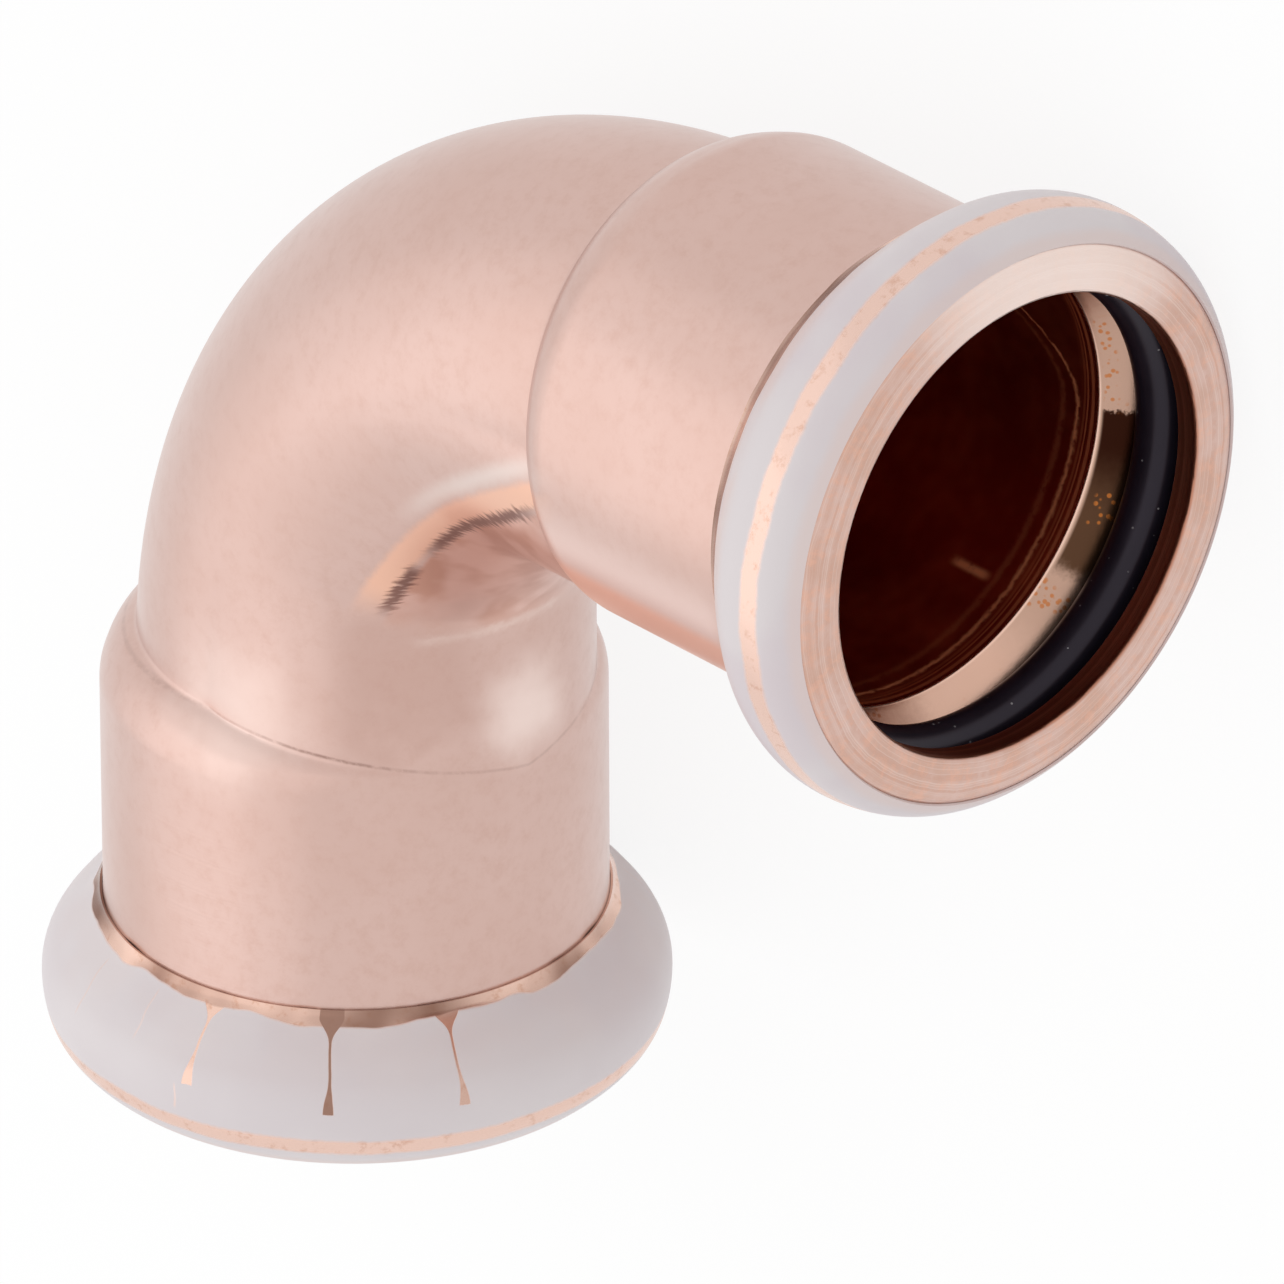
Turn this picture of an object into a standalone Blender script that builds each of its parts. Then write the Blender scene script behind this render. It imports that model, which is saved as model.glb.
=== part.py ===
"""A 90 degree copper press elbow for 28 mm pipe.

One copper tube is bent through a right angle. Each end is expanded into a socket for the pipe and rolled
out into a hollow bead, whose lip is turned back in to the bore. A rubber ring sits in each bead, and a thin
plastic sleeve is shrunk over it. The fitting lies on its side, on both beads and on the back of its bend.
"""
import math

import bmesh
import bpy
import numpy as np
from mathutils import Matrix, Vector

# Pipe and formed wall
PIPE_RADIUS = 0.0140
PIPE_CLEARANCE = 0.00015
WALL = 0.00105

# Elbow, measured from the meeting point of the two socket axes
CENTRE_TO_MOUTH = 0.0570
BEND_RADIUS = 0.0316

# Shoulder from the socket down to the tube, with its depth counted from the mouth
SHOULDER_START = 0.0240
SHOULDER_DROP = 0.0022
SHOULDER_ROUND = 0.0036
SHOULDER_FILLET = 0.0012

# Bead, with depths counted from the mouth
BEAD_HEIGHT = 0.0033
CREST_DEPTH = 0.00405
CREST_ROUND = 0.0034
FLANK_ANGLE = math.radians(38.0)
FOOT_ROUND = 0.0014

# Lip that is turned in to the bore, and the flat ring that it leaves round the mouth
LIP_CLEARANCE = 0.00025
LIP_ROUND = 0.0003
MOUTH_RING = 0.00185

# Seal ring, which stands a little proud of the lip towards the pipe
SEAL_SECTION = 0.0032
SEAL_DEPTH = 0.00425
SEAL_PROUD = 0.0004

# Indicator sleeve
SLEEVE_WALL = 0.0002
SLEEVE_CLEARANCE = 0.00025
SLEEVE_FRONT_ANGLE = math.radians(27.0)
SLEEVE_FLANK_LENGTH = 0.0027

# Facets round a socket, and along the curves of a section
FACETS_ROUND = 48
BEND_STEPS = 7
CURVE_STEPS = 3
SEAL_FACETS = 10

SOCKET_RADIUS = PIPE_RADIUS + PIPE_CLEARANCE + WALL
TUBE_RADIUS = SOCKET_RADIUS - SHOULDER_DROP
CREST_RADIUS = SOCKET_RADIUS + BEAD_HEIGHT
LIP_BORE = PIPE_RADIUS + LIP_CLEARANCE
NOSE_RADIUS = LIP_BORE + MOUTH_RING
SEAL_RADIUS = LIP_BORE - SEAL_PROUD + SEAL_SECTION / 2
BEND_START = CENTRE_TO_MOUTH - BEND_RADIUS
HALF_BEND = math.radians(45.0)


def clear_scene():
    for item in list(bpy.data.objects):
        bpy.data.objects.remove(item, do_unlink=True)


def make_material(name, colour, metallic, roughness):
    material = bpy.data.materials.new(name)
    material.use_nodes = True
    shader = material.node_tree.nodes["Principled BSDF"]
    shader.inputs["Base Color"].default_value = (*colour, 1.0)
    shader.inputs["Metallic"].default_value = metallic
    shader.inputs["Roughness"].default_value = roughness
    return material


def arc(centre_s, centre_r, size_s, size_r, start, end, steps):
    """Points (depth, radius) of an arc, with angles counted from the radial direction towards the bend."""
    points = []
    for step in range(steps + 1):
        angle = start + (end - start) * step / steps
        points.append((centre_s + size_s * math.sin(angle), centre_r + size_r * math.cos(angle)))
    return points


def bead_flank_length():
    """Length of the straight flank between the round of the crest and the round of the foot."""
    rounds = (CREST_ROUND + FOOT_ROUND) * (1.0 - math.cos(FLANK_ANGLE))
    return (BEAD_HEIGHT - rounds) / math.sin(FLANK_ANGLE)


def foot_depth():
    """Depth at which the bead's foot has run out into the straight socket."""
    rounds = (CREST_ROUND + FOOT_ROUND) * math.sin(FLANK_ANGLE)
    return CREST_DEPTH + rounds + bead_flank_length() * math.cos(FLANK_ANGLE)


def shoulder_turn():
    """Angle through which the shoulder turns down from the socket before its fillet brings it level again."""
    return math.acos(max(1.0 - SHOULDER_DROP / (SHOULDER_ROUND + SHOULDER_FILLET), -1.0))


def shoulder_end():
    """Depth at which the shoulder has run out into the tube."""
    return SHOULDER_START + (SHOULDER_ROUND + SHOULDER_FILLET) * math.sin(shoulder_turn())


def shoulder(inset):
    """Shoulder from the tube out to the socket, on a skin that lies inset from the outer one."""
    fillet = arc(shoulder_end(), TUBE_RADIUS + SHOULDER_FILLET, SHOULDER_FILLET + inset,
                 SHOULDER_FILLET + inset, math.pi, math.pi + shoulder_turn(), CURVE_STEPS - 1)
    crown = arc(SHOULDER_START, SOCKET_RADIUS - SHOULDER_ROUND, SHOULDER_ROUND - inset,
                SHOULDER_ROUND - inset, shoulder_turn(), 0.0, CURVE_STEPS)
    return fillet + crown[1:]


def tube_depths():
    """Depths of the bend's rings, from the plane of symmetry back to the shoulder."""
    step = BEND_RADIUS * HALF_BEND / BEND_STEPS
    depths = [BEND_START + step * count for count in range(BEND_STEPS, 0, -1)]
    return [depth for depth in depths if depth > shoulder_end() + step / CURVE_STEPS]


def bead(inset):
    """Bead from the foot on the socket to the nose at the mouth, on a skin inset from the outer one."""
    foot = arc(foot_depth(), SOCKET_RADIUS + FOOT_ROUND, FOOT_ROUND + inset, FOOT_ROUND + inset,
               math.pi, math.pi + FLANK_ANGLE, CURVE_STEPS)
    crest = arc(CREST_DEPTH, CREST_RADIUS - CREST_ROUND, CREST_ROUND - inset, CREST_ROUND - inset,
                FLANK_ANGLE, 0.0, CURVE_STEPS)
    nose_height = CREST_RADIUS - NOSE_RADIUS
    nose = arc(CREST_DEPTH, NOSE_RADIUS - inset, CREST_DEPTH - inset, nose_height,
               0.0, -math.pi / 2, CURVE_STEPS + 1)
    return foot + crest + nose[1:]


def body_profile():
    """Section of one half of the body: down its outer skin to the mouth and back up its inner skin."""
    outer = [(depth, TUBE_RADIUS) for depth in tube_depths()] + shoulder(0.0) + bead(0.0)
    lip = arc(LIP_ROUND, LIP_BORE + LIP_ROUND, LIP_ROUND, LIP_ROUND, -math.pi / 2, -math.pi, 2)
    lip.append((WALL, LIP_BORE))
    inner = list(reversed(bead(WALL))) + list(reversed(shoulder(WALL)))
    inner += [(depth, TUBE_RADIUS - WALL) for depth in reversed(tube_depths())]
    return outer + lip + inner, len(outer)


def bend_point(point):
    """Bend a straight socket and tube: past the start of the bend, depth becomes turn."""
    turn = max(point.z - BEND_START, 0.0) / BEND_RADIUS
    if turn == 0.0:
        return point.copy()
    reach = BEND_RADIUS - point.x
    return Vector((BEND_RADIUS - reach * math.cos(turn), point.y, BEND_START + reach * math.sin(turn)))


def fill_throat(point, section_radius):
    """In the throat the tube's wall runs straight on from the socket until it meets the bend."""
    distance = math.hypot(point.x, point.y)
    cosine = point.x / distance
    across = SHOULDER_DROP * point.y / distance
    full = SHOULDER_DROP * cosine + math.sqrt(section_radius ** 2 - across ** 2)
    if distance >= full:
        return point
    return Vector((point.x * full / distance, point.y * full / distance, point.z))


def mouth_matrix(side):
    """Place and turn of a mouth in the elbow's frame: local Z runs into the socket, local X to the throat."""
    inward = Vector((-side, 1.0, 0.0)).normalized()
    throat = Vector((-side, -1.0, 0.0)).normalized()
    across = inward.cross(throat)
    turn = Matrix((throat, across, inward)).transposed().to_4x4()
    return Matrix.Translation(-CENTRE_TO_MOUTH * inward) @ turn


def make_body(material):
    """Body: half the elbow is turned and bent, and Mirror adds the other half at the plane of symmetry."""
    profile, outer_count = body_profile()
    mesh = bmesh.new()
    skin = mesh.verts.layers.int.new("skin")
    line = [mesh.verts.new((radius, 0.0, depth)) for depth, radius in profile]
    edges = [mesh.edges.new(pair) for pair in zip(line, line[1:])]
    for count, vertex in enumerate(line):
        vertex[skin] = 1 if count < outer_count else 2
    bmesh.ops.spin(mesh, geom=line + edges, cent=(0.0, 0.0, 0.0), axis=(0.0, 0.0, 1.0),
                   angle=math.tau, steps=FACETS_ROUND, use_merge=True, use_duplicate=False)
    bmesh.ops.remove_doubles(mesh, verts=mesh.verts[:], dist=1e-6)
    place = mouth_matrix(-1.0)
    for vertex in mesh.verts:
        depth = vertex.co.z
        point = bend_point(vertex.co)
        if depth > SHOULDER_START and vertex.co.x > 0.0:
            inset = 0.0 if vertex[skin] == 1 else WALL
            point = fill_throat(point, TUBE_RADIUS - inset)
        vertex.co = place @ point
        if abs(depth - BEND_START - BEND_RADIUS * HALF_BEND) < 1e-6:
            vertex.co.x = 0.0
    body = finish_mesh("elbow_body", mesh, material)
    mirror = body.modifiers.new("other_half", "MIRROR")
    mirror.use_axis = (True, False, False)
    mirror.use_mirror_merge = True
    mirror.merge_threshold = 0.00001
    return body


def finish_mesh(name, mesh, material):
    data = bpy.data.meshes.new(name)
    mesh.to_mesh(data)
    mesh.free()
    data.materials.append(material)
    data.shade_smooth()
    data.set_sharp_from_angle(angle=math.radians(35.0))
    item = bpy.data.objects.new(name, data)
    parts.objects.link(item)
    return item


def make_seal(name, side, material):
    """Seal: a round-section ring in the bead's chamber, clear of its walls all round."""
    bpy.ops.mesh.primitive_torus_add(major_segments=FACETS_ROUND, minor_segments=SEAL_FACETS,
                                     major_radius=SEAL_RADIUS, minor_radius=SEAL_SECTION / 2)
    seal = bpy.context.object
    seal.name = name
    seal.data.name = name
    seal.data.materials.append(material)
    seal.data.shade_smooth()
    for holder in list(seal.users_collection):
        holder.objects.unlink(seal)
    parts.objects.link(seal)
    seal.matrix_world = mouth_matrix(side) @ Matrix.Translation((0.0, 0.0, SEAL_DEPTH))
    return seal


def sleeve_profile():
    """Closed section of the sleeve: it follows the bead at its clearance, from the flank round to the nose."""
    sections = []
    for offset in (SLEEVE_CLEARANCE + SLEEVE_WALL, SLEEVE_CLEARANCE):
        size = CREST_ROUND + offset
        crest = arc(CREST_DEPTH, CREST_RADIUS - CREST_ROUND, size, size, FLANK_ANGLE, 0.0, CURVE_STEPS)
        end_s = crest[0][0] + SLEEVE_FLANK_LENGTH * math.cos(FLANK_ANGLE)
        end_r = crest[0][1] - SLEEVE_FLANK_LENGTH * math.sin(FLANK_ANGLE)
        height = CREST_RADIUS - NOSE_RADIUS
        nose = arc(CREST_DEPTH, NOSE_RADIUS, CREST_DEPTH + offset, height + offset,
                   0.0, SLEEVE_FRONT_ANGLE - math.pi / 2, CURVE_STEPS)
        sections.append([(end_s, end_r)] + crest + nose[1:])
    outer, inner = sections
    return outer + list(reversed(inner))


def make_sleeve(name, side, material):
    """Sleeve: its closed section is turned about the socket's axis."""
    points = sleeve_profile()
    data = bpy.data.meshes.new(name)
    edges = [(count, (count + 1) % len(points)) for count in range(len(points))]
    data.from_pydata([(radius, 0.0, depth) for depth, radius in points], edges, [])
    data.materials.append(material)
    sleeve = bpy.data.objects.new(name, data)
    parts.objects.link(sleeve)
    turned = sleeve.modifiers.new("turned", "SCREW")
    turned.angle = math.tau
    turned.steps = FACETS_ROUND
    turned.render_steps = FACETS_ROUND
    turned.use_merge_vertices = True
    turned.merge_threshold = 0.00001
    turned.use_smooth_shade = True
    sleeve.matrix_world = mouth_matrix(side)
    return sleeve


def points_of(item):
    """Every corner of an object as it is modelled, in the elbow's frame."""
    bpy.context.view_layer.update()
    seen = item.evaluated_get(bpy.context.evaluated_depsgraph_get())
    data = seen.to_mesh()
    points = np.array([item.matrix_world @ vertex.co for vertex in data.vertices])
    seen.to_mesh_clear()
    return points


def lay_down(frame, items):
    """Tip the elbow on to its two beads and the back of its bend, and centre it over the floor's origin."""
    points = np.vstack([points_of(item) for item in items])
    middle = abs(points[:, 0]) < TUBE_RADIUS
    flat, steep = 0.0, HALF_BEND
    for _ in range(50):
        tip = (flat + steep) / 2
        heights = points[:, 2] * math.cos(tip) - points[:, 1] * math.sin(tip)
        if heights[middle].min() > heights[~middle].min():
            flat = tip
        else:
            steep = tip
    turn = Matrix.Rotation(-HALF_BEND, 4, "Z") @ Matrix.Rotation(-tip, 4, "X")
    placed = points @ np.array(turn.to_3x3()).T
    low, high = placed.min(axis=0), placed.max(axis=0)
    shift = Vector((-(low[0] + high[0]) / 2, -(low[1] + high[1]) / 2, -low[2]))
    frame.matrix_world = Matrix.Translation(shift) @ turn


clear_scene()
parts = bpy.data.collections.new("press_elbow")
bpy.context.scene.collection.children.link(parts)
copper = make_material("satin_copper", (0.80, 0.56, 0.47), 1.0, 0.32)
rubber = make_material("seal_rubber", (0.02, 0.02, 0.024), 0.0, 0.5)
plastic = make_material("sleeve_plastic", (0.74, 0.73, 0.74), 0.0, 0.45)

pieces = [make_body(copper)]
for mouth, side_sign in (("left", -1.0), ("front", 1.0)):
    pieces.append(make_seal(mouth + "_seal_ring", side_sign, rubber))
    pieces.append(make_sleeve(mouth + "_indicator_sleeve", side_sign, plastic))

rest = bpy.data.objects.new("rest_pose", None)
parts.objects.link(rest)
lay_down(rest, pieces)
for piece in pieces:
    piece.parent = rest
bpy.context.view_layer.update()
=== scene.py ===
import math
from collections import namedtuple

import bmesh
import bpy
from mathutils import Matrix, Vector, noise


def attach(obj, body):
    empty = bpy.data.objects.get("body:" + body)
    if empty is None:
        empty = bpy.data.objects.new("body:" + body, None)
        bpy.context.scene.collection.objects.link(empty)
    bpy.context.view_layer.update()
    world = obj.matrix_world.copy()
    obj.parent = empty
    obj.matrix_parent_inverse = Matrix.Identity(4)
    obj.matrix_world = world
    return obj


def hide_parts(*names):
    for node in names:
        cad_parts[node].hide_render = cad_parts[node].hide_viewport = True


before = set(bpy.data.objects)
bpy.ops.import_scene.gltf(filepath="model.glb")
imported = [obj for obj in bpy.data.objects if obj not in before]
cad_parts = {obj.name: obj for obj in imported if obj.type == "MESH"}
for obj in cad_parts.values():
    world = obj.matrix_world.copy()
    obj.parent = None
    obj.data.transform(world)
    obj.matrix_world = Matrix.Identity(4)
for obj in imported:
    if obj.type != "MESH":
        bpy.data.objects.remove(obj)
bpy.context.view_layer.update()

MM = 0.001

# The body is one copper tube, bent through a right angle. Each end is expanded over a mandrel into a
# socket, rolled out into a hollow bead, and turned back in to a flat lip round the mouth.
# It lies on its side, so its own upright frame is tipped over and set down on the floor.
CENTRE_TO_MOUTH = 57.0 * MM
BEND_RADIUS = 31.6 * MM
BEND_START = CENTRE_TO_MOUTH - BEND_RADIUS
TUBE_RADIUS = 12.97 * MM
SOCKET_RADIUS = 15.17 * MM
SHOULDER_DROP = SOCKET_RADIUS - TUBE_RADIUS
WALL = 1.05 * MM
LIP_BORE = 14.25 * MM
CREST_DEPTH = 4.05 * MM
CREST_RADIUS = 18.5 * MM
CREST_ROUND = 3.4 * MM
NOSE_RADIUS = 16.1 * MM
FLANK_ANGLE = math.radians(38.0)
FOOT_ROUND = 1.4 * MM
SHOULDER_START = 24.0 * MM
SHOULDER_ROUND = 3.6 * MM
SHOULDER_FILLET = 0.4 * MM
LIP_ROUND = 0.42 * MM
CHAMBER_ANGLE = math.radians(46.7)
CHAMBER_EDGE = 0.3 * MM
LIP_START = 0.6 * MM
LIP_LENGTH = 1.9 * MM
LIP_EDGE = 0.15 * MM
LIP_BACK = 0.5 * MM
LIP_CURL_LENGTH = 0.4 * MM
LIP_CURL_HEIGHT = 0.75 * MM
MIDDLE_DEPTH = BEND_START + BEND_RADIUS * math.radians(45.0)
SEAM_SOFT = 0.12 * MM
SEAM_SOFTER = 0.5 * MM
SEAM_SOFTENS = (28.0 * MM, 32.0 * MM)
THROAT_SIDE = (0.1, 0.5)
RING_DEPTH = 0.8 * MM
RING_RADIUS = 17.6 * MM
CHAMBER_END = 8.32 * MM
BODY_ROUND = 192
LIP_STEPS = 8
BEAD_STEPS = 10
CHAMBER_STEPS = 8
SOCKET_STEPS = 10
BORE_STEPS = 5
FILLET_STEPS = 5
SMOOTH_BELOW = math.radians(40.0)
TIPPED = Matrix.Rotation(math.radians(-13.5957), 4, "X")
TURNED = Matrix.Rotation(math.radians(-45.0), 4, "Z")
LYING = Matrix.Translation(Vector((19.691, 19.691, 9.919)) * MM) @ TURNED @ TIPPED


def mouth_place(side):
    """Turn and place of a mouth on the lying body: Z runs into the socket and X points to the throat."""
    inward = Vector((-side, 1.0, 0.0)).normalized()
    throat = Vector((-side, -1.0, 0.0)).normalized()
    turn = Matrix((throat, inward.cross(throat), inward)).transposed().to_4x4()
    return Matrix.Translation(-CENTRE_TO_MOUTH * inward) @ turn


LEFT_MOUTH = mouth_place(-1.0)
FRONT_MOUTH = mouth_place(1.0)


def arc(depth, radius, size_depth, size_radius, start, end, steps):
    """Section points (depth, radius) round an arc, with angles counted from the radial direction."""
    points = []
    for step in range(steps + 1):
        angle = start + (end - start) * step / steps
        points.append((depth + size_depth * math.sin(angle), radius + size_radius * math.cos(angle)))
    return points


def line(start, end, steps):
    """Section points on a straight line, without its first point."""
    return [tuple(a + (b - a) * step / steps for a, b in zip(start, end)) for step in range(1, steps + 1)]


def bead_section(steps):
    """The bead's outside, from its nose at the mouth back to its foot on the socket."""
    flat = math.cos(FLANK_ANGLE)
    rise = (CREST_ROUND + FOOT_ROUND) * (1.0 - flat)
    flank = (CREST_RADIUS - SOCKET_RADIUS - rise) / math.sin(FLANK_ANGLE)
    foot_depth = CREST_DEPTH + (CREST_ROUND + FOOT_ROUND) * math.sin(FLANK_ANGLE) + flank * flat
    nose = arc(CREST_DEPTH, NOSE_RADIUS, CREST_DEPTH, CREST_RADIUS - NOSE_RADIUS,
               -math.pi / 2, 0.0, 2 * steps)
    crest = arc(CREST_DEPTH, CREST_RADIUS - CREST_ROUND, CREST_ROUND, CREST_ROUND, 0.0, FLANK_ANGLE, steps)
    foot = arc(foot_depth, SOCKET_RADIUS + FOOT_ROUND, FOOT_ROUND, FOOT_ROUND,
               math.pi + FLANK_ANGLE, math.pi, steps)
    return nose + crest[1:] + line(crest[-1], foot[0], steps) + foot[1:]


def chamber_section(steps):
    """The bead's inside, from behind the lip round the seal's chamber to the edge where the bore begins."""
    nose = arc(CREST_DEPTH, NOSE_RADIUS - WALL, CREST_DEPTH - WALL, CREST_RADIUS - NOSE_RADIUS,
               -math.pi / 2, 0.0, 2 * steps)
    crest = arc(CREST_DEPTH, CREST_RADIUS - CREST_ROUND, CREST_ROUND - WALL, CREST_ROUND - WALL,
                0.0, CHAMBER_ANGLE, steps)
    start = SOCKET_RADIUS - WALL + CHAMBER_EDGE
    low = start - CHAMBER_EDGE * math.cos(CHAMBER_ANGLE)
    flank = (crest[-1][1] - low) / math.tan(CHAMBER_ANGLE)
    edge_end = crest[-1][0] + flank + CHAMBER_EDGE * math.sin(CHAMBER_ANGLE)
    edge = arc(edge_end, start, CHAMBER_EDGE, CHAMBER_EDGE, math.pi + CHAMBER_ANGLE, math.pi, steps // 2)
    return nose + crest[1:] + line(crest[-1], edge[0], steps) + edge[1:]


def socket_section(bead, inset, steps):
    """A bead's section, then straight along the socket, over the shoulder and to the middle of the bend."""
    turn = math.acos(1.0 - SHOULDER_DROP / (SHOULDER_ROUND + SHOULDER_FILLET))
    end = SHOULDER_START + (SHOULDER_ROUND + SHOULDER_FILLET) * math.sin(turn)
    crown = arc(SHOULDER_START, SOCKET_RADIUS - SHOULDER_ROUND, SHOULDER_ROUND - inset,
                SHOULDER_ROUND - inset, 0.0, turn, 2 * steps)
    fillet = arc(end, TUBE_RADIUS + SHOULDER_FILLET, SHOULDER_FILLET + inset, SHOULDER_FILLET + inset,
                 math.pi + turn, math.pi, FILLET_STEPS)
    to_middle = line(fillet[-1], (MIDDLE_DEPTH, TUBE_RADIUS - inset), 5 * steps)
    return bead + line(bead[-1], crown[0], steps) + crown[1:] + fillet[1:] + to_middle


def start_ring(name, point, round_count):
    """A ring of edges at a point of the section, left selected in edit mode."""
    bpy.ops.object.select_all(action="DESELECT")
    bpy.ops.mesh.primitive_circle_add(vertices=round_count, radius=point[1], fill_type="NOTHING",
                                      location=(0.0, 0.0, point[0]))
    piece = bpy.context.object
    piece.name = name
    piece.data.name = name
    bpy.ops.object.mode_set(mode="EDIT")
    bpy.ops.mesh.select_all(action="SELECT")
    return piece


def raise_rings(points):
    """Carry the selected ring along a section: each step is an extrude, a move and a resize."""
    for here, there in zip(points, points[1:]):
        bpy.ops.mesh.extrude_region_move(TRANSFORM_OT_translate={"value": (0.0, 0.0, there[0] - here[0])})
        scale = there[1] / here[1]
        bpy.ops.transform.resize(value=(scale, scale, 1.0), center_override=(0.0, 0.0, there[0]))


def face_outward():
    """Turn every face of the piece in hand outward."""
    bpy.ops.object.mode_set(mode="EDIT")
    bpy.ops.mesh.select_all(action="SELECT")
    bpy.ops.mesh.normals_make_consistent(inside=False)
    bpy.ops.object.mode_set(mode="OBJECT")


def select_first_ring(piece, round_count):
    """Select only the ring that the piece was started from."""
    mesh = bmesh.from_edit_mesh(piece.data)
    bpy.ops.mesh.select_all(action="DESELECT")
    for vertex in mesh.verts:
        vertex.select = vertex.index < round_count
    mesh.select_flush(True)
    bmesh.update_edit_mesh(piece.data)


lip = arc(LIP_ROUND, LIP_BORE + LIP_ROUND, LIP_ROUND, LIP_ROUND, -math.pi, -math.pi / 2, LIP_STEPS)
outer_line = [(LIP_START, LIP_BORE)] + lip + socket_section(bead_section(BEAD_STEPS), 0.0, SOCKET_STEPS)
inner_line = [(LIP_START, LIP_BORE),
              (LIP_LENGTH - LIP_EDGE, LIP_BORE),
              (LIP_LENGTH, LIP_BORE + LIP_EDGE),
              (LIP_LENGTH, LIP_BORE + LIP_BACK),
              (LIP_LENGTH - LIP_CURL_LENGTH, LIP_BORE + LIP_CURL_HEIGHT)]
inner_line += socket_section(chamber_section(CHAMBER_STEPS), WALL, BORE_STEPS)
body = start_ring("elbow_body_shell", outer_line[0], BODY_ROUND)
raise_rings(outer_line)
select_first_ring(body, BODY_ROUND)
raise_rings(inner_line)
bpy.ops.object.mode_set(mode="OBJECT")
bpy.ops.object.transform_apply(location=True)


def smooth_step(value, low, high):
    """A smooth rise from 0 at low to 1 at high."""
    share = min(max((value - low) / (high - low), 0.0), 1.0)
    return share * share * (3.0 - 2.0 * share)


def bend_and_fill(point, section_radius):
    """Bend the straight tube, and in the throat let its wall run straight on until it meets the bend."""
    turn = max(point.z - BEND_START, 0.0) / BEND_RADIUS
    reach = BEND_RADIUS - point.x
    bent = Vector((BEND_RADIUS - reach * math.cos(turn), point.y, BEND_START + reach * math.sin(turn)))
    if turn == 0.0:
        bent = point.copy()
    if point.z <= SHOULDER_START or point.x <= 0.0:
        return bent
    distance = math.hypot(bent.x, bent.y)
    cosine = bent.x / distance
    across = SHOULDER_DROP * bent.y / distance
    full = SHOULDER_DROP * cosine + math.sqrt(section_radius ** 2 - across ** 2)
    soft = (SEAM_SOFT + SEAM_SOFTER * smooth_step(point.z, *SEAM_SOFTENS)) * smooth_step(cosine, *THROAT_SIDE)
    overlap = max(soft - abs(distance - full), 0.0)
    radius = max(distance, full) + (overlap * overlap / (4.0 * soft) if soft > 0.0 else 0.0)
    return Vector((bent.x * radius / distance, bent.y * radius / distance, bent.z))


OUTER_RINGS = len(outer_line)
ZONES = {"outside": 0, "left_ring": 1, "front_ring": 2, "left_chamber": 3, "front_chamber": 4,
         "left_bore": 5, "front_bore": 6}
half = bmesh.new()
half.from_mesh(body.data)
half.verts.ensure_lookup_table()
for face in half.faces:
    middle = face.calc_center_median()
    distance = math.hypot(middle.x, middle.y)
    outside = max(vertex.index for vertex in face.verts) < OUTER_RINGS * BODY_ROUND
    if outside and middle.z < RING_DEPTH and distance < RING_RADIUS:
        face.material_index = ZONES["left_ring"]
    elif outside:
        face.material_index = ZONES["outside"]
    elif middle.z < CHAMBER_END:
        face.material_index = ZONES["left_chamber"]
    else:
        face.material_index = ZONES["left_bore"]
for vertex in half.verts:
    inset = 0.0 if vertex.index < OUTER_RINGS * BODY_ROUND else WALL
    on_plane = abs(vertex.co.z - MIDDLE_DEPTH) < 1e-7
    vertex.co = LEFT_MOUTH @ bend_and_fill(vertex.co, TUBE_RADIUS - inset)
    if on_plane:
        vertex.co.x = 0.0
half.to_mesh(body.data)
half.free()
other_half = body.modifiers.new("other_half", "MIRROR")
other_half.use_axis = (True, False, False)
other_half.merge_threshold = 0.00001
bpy.ops.object.modifier_apply(modifier="other_half")
OTHER_MOUTH = {ZONES["left_ring"]: ZONES["front_ring"], ZONES["left_chamber"]: ZONES["front_chamber"],
               ZONES["left_bore"]: ZONES["front_bore"]}
for face in body.data.polygons:
    if face.center.x > 0.0:
        face.material_index = OTHER_MOUTH.get(face.material_index, face.material_index)
face_outward()
body.data.transform(LYING)
bpy.ops.object.shade_smooth_by_angle(angle=SMOOTH_BELOW)


def add_node(tree, kind, inputs=(), **settings):
    """A shader node with its settings, and each input set to a value or joined to a socket."""
    made = tree.nodes.new("ShaderNode" + kind)
    for name, value in settings.items():
        setattr(made, name, value)
    for name, value in inputs:
        if isinstance(value, bpy.types.NodeSocket):
            tree.links.new(value, made.inputs[name])
        else:
            made.inputs[name].default_value = value
    return made


def calc(tree, operation, first, second=0.0, third=0.0, clamp=False):
    """The result of a Math node."""
    made = add_node(tree, "Math", [(0, first), (1, second), (2, third)], operation=operation, use_clamp=clamp)
    return made.outputs[0]


def times(tree, product, *others):
    """All the values multiplied with each other."""
    for other in others:
        product = calc(tree, "MULTIPLY", product, other)
    return product


def degrees(tree, angle):
    """An angle in radians, turned into degrees."""
    return calc(tree, "DEGREES", angle)


def cloudy(tree, where, scale, detail, roughness=0.5):
    """A noise in space, from 0 to 1. The scale counts its blobs to the millimetre."""
    made = add_node(tree, "TexNoise", [("Vector", where), ("Scale", scale), ("Detail", detail),
                                       ("Roughness", roughness)])
    return made.outputs[0]


def streaky(tree, along, scale, detail):
    """A noise from 0 to 1 that changes along one measure only."""
    made = add_node(tree, "TexNoise", [("W", along), ("Scale", scale), ("Detail", detail)],
                    noise_dimensions="1D")
    return made.outputs[0]


def sway(tree, value, wobble, amount):
    """A value moved to and fro by a noise, by half the amount at most to either side."""
    return calc(tree, "MULTIPLY_ADD", calc(tree, "SUBTRACT", wobble, 0.5), amount, value)


def ramp_up(tree, value, low, high):
    """A smooth rise from 0 at low to 1 at high."""
    made = add_node(tree, "MapRange", [("Value", value), ("From Min", low), ("From Max", high)],
                    interpolation_type="SMOOTHSTEP")
    return made.outputs["Result"]


def window(tree, value, low, high, soft):
    """1 between low and high, falling softly to 0 outside them."""
    falling = ramp_up(tree, value, high + soft, high - soft)
    return times(tree, ramp_up(tree, value, low - soft, low + soft), falling)


def straight(tree, value, start, end, low=0.0, high=1.0):
    """A straight change from the start number to the end number, as the value goes from low to high."""
    made = add_node(tree, "MapRange", [("Value", value), ("From Min", low), ("From Max", high),
                                       ("To Min", start), ("To Max", end)])
    return made.outputs["Result"]


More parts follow.
